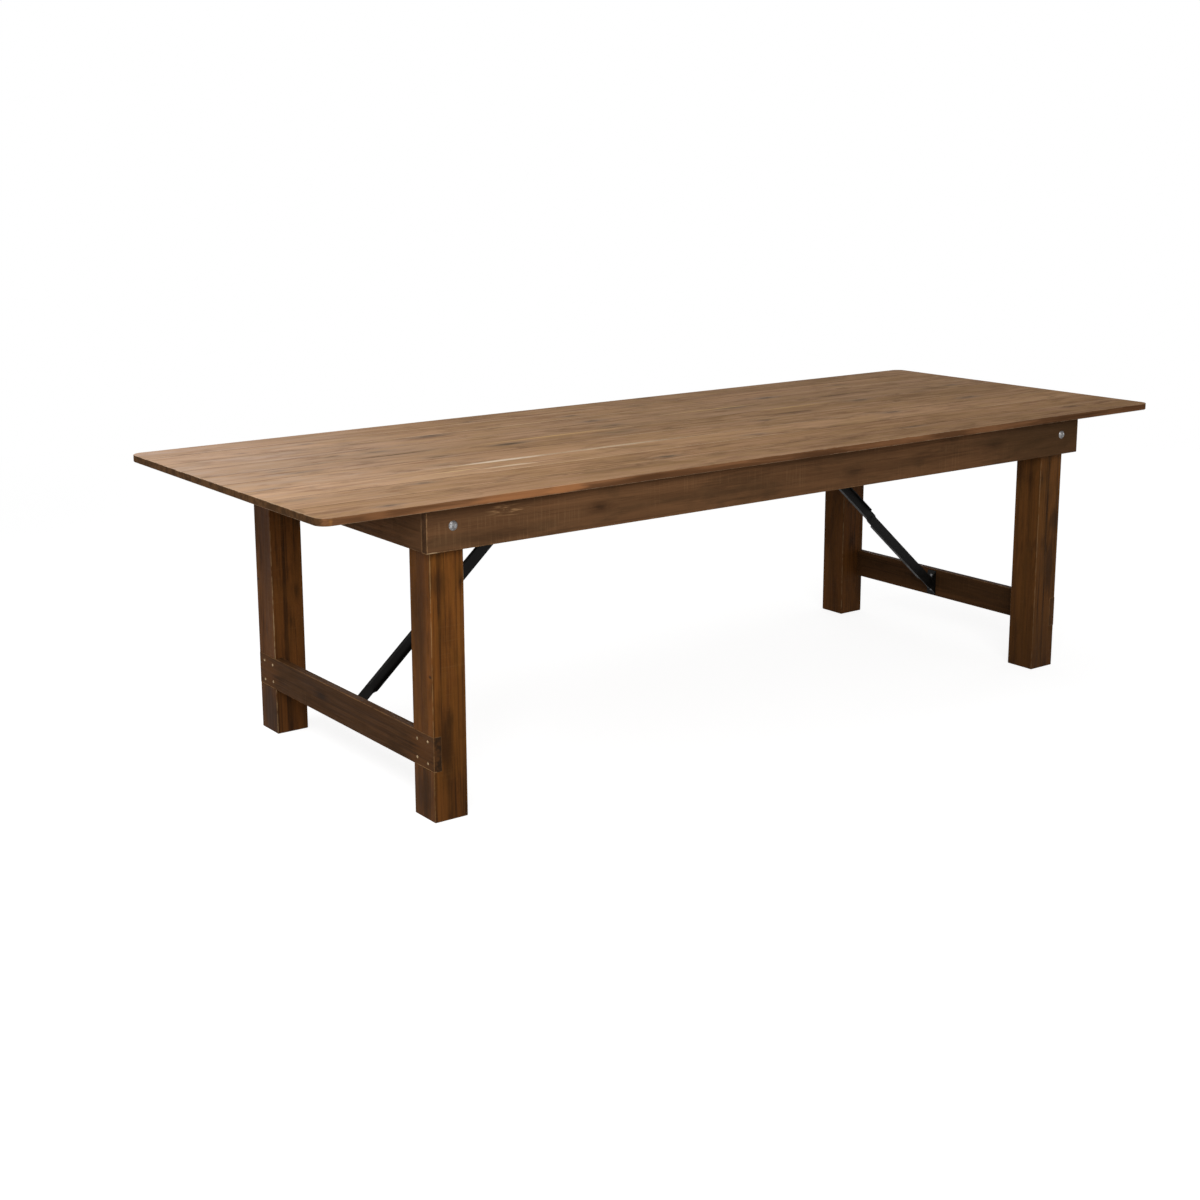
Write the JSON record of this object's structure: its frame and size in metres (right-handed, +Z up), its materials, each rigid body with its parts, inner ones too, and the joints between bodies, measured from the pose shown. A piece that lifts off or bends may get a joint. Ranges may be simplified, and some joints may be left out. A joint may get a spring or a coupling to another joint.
{
  "type": "folding farmhouse table",
  "caption": "Long planked farmhouse table with a board apron, square legs that fold inward in pairs and linked steel braces.",
  "frame": {"origin": "on the floor, under the middle of the table top", "axes": "+X along the table's length, +Y across its width, +Z up"},
  "size_m": [2.743, 1.016, 0.762],
  "materials": {
    "top_wood": "rustic stained pine, weathered brown, matt sealed",
    "apron_wood": "rustic stained pine with fine saw marks, dark brown, matt sealed",
    "leg_wood": "rustic stained pine, warm brown with dark patches, satin sealed",
    "stretcher_wood": "rustic stained pine, dark brown, matt sealed",
    "batten_wood": "plain stained pine, brown, matt",
    "brace_steel": "satin black powder coat",
    "zinc_steel": "bright zinc plate"
  },
  "bodies": {
    "table_top": {"back_apron": "apron_wood", "back_cleat": "batten_wood", "front_apron": "apron_wood", "front_cleat": "batten_wood", "left_brace_batten": "batten_wood", "left_end_apron": "apron_wood", "left_end_batten": "batten_wood", "left_end_cleat": "batten_wood", "left_top_bracket": "brace_steel", "left_top_rivet": "brace_steel", "leg_bolts": "zinc_steel", "leg_nuts": "zinc_steel", "leg_spacers": "zinc_steel", "leg_washers": "zinc_steel", "middle_batten": "batten_wood", "right_brace_batten": "batten_wood", "right_end_apron": "apron_wood", "right_end_batten": "batten_wood", "right_end_cleat": "batten_wood", "right_top_bracket": "brace_steel", "right_top_rivet": "brace_steel", "top_plank_1": "top_wood", "top_plank_2": "top_wood", "top_plank_3": "top_wood", "top_plank_4": "top_wood", "top_plank_5": "top_wood", "top_plank_6": "top_wood", "top_plank_7": "top_wood", "top_plank_8": "top_wood", "top_plank_9": "top_wood"},
    "left_legs": {"left_back_leg": "leg_wood", "left_foot_bracket": "brace_steel", "left_foot_rivet": "brace_steel", "left_front_leg": "leg_wood", "left_stretcher": "stretcher_wood"},
    "right_legs": {"right_back_leg": "leg_wood", "right_foot_bracket": "brace_steel", "right_foot_rivet": "brace_steel", "right_front_leg": "leg_wood", "right_stretcher": "stretcher_wood"},
    "left_lower_link": {"left_lower_knee_rivet": "brace_steel", "left_lower_link": "brace_steel"},
    "left_upper_link": {"left_upper_knee_rivet": "brace_steel", "left_upper_link": "brace_steel"},
    "right_lower_link": {"right_lower_knee_rivet": "brace_steel", "right_lower_link": "brace_steel"},
    "right_upper_link": {"right_upper_knee_rivet": "brace_steel", "right_upper_link": "brace_steel"}
  },
  "joints": [
    {"name": "left_leg_fold", "type": "hinge", "parent": "table_top", "child": "left_legs", "pos_m": [-1.0235, 0, 0.698], "axis": [0, -1, 0], "range_deg": [0, 90]},
    {"name": "right_leg_fold", "type": "hinge", "parent": "table_top", "child": "right_legs", "pos_m": [1.0235, 0, 0.698], "axis": [0, 1, 0], "range_deg": [0, 90]},
    {"name": "left_upper_link_fold", "type": "hinge", "parent": "table_top", "child": "left_upper_link", "pos_m": [-0.426, 0, 0.698], "axis": [0, 1, 0], "range_deg": [0, 41.79]},
    {"name": "left_lower_link_fold", "type": "hinge", "parent": "left_legs", "child": "left_lower_link", "pos_m": [-1.0235, 0, 0.164], "axis": [0, -1, 0], "range_deg": [0, 48.22]},
    {"name": "right_upper_link_fold", "type": "hinge", "parent": "table_top", "child": "right_upper_link", "pos_m": [0.426, 0, 0.698], "axis": [0, -1, 0], "range_deg": [0, 41.79]},
    {"name": "right_lower_link_fold", "type": "hinge", "parent": "right_legs", "child": "right_lower_link", "pos_m": [1.0235, 0, 0.164], "axis": [0, 1, 0], "range_deg": [0, 48.22]}
  ],
  "couplings": [
    {"joint": "left_upper_link_fold", "follows": "left_leg_fold", "ratio": 0.46431},
    {"joint": "left_lower_link_fold", "follows": "left_leg_fold", "ratio": 0.53569},
    {"joint": "right_upper_link_fold", "follows": "right_leg_fold", "ratio": 0.46431},
    {"joint": "right_lower_link_fold", "follows": "right_leg_fold", "ratio": 0.53569}
  ]
}
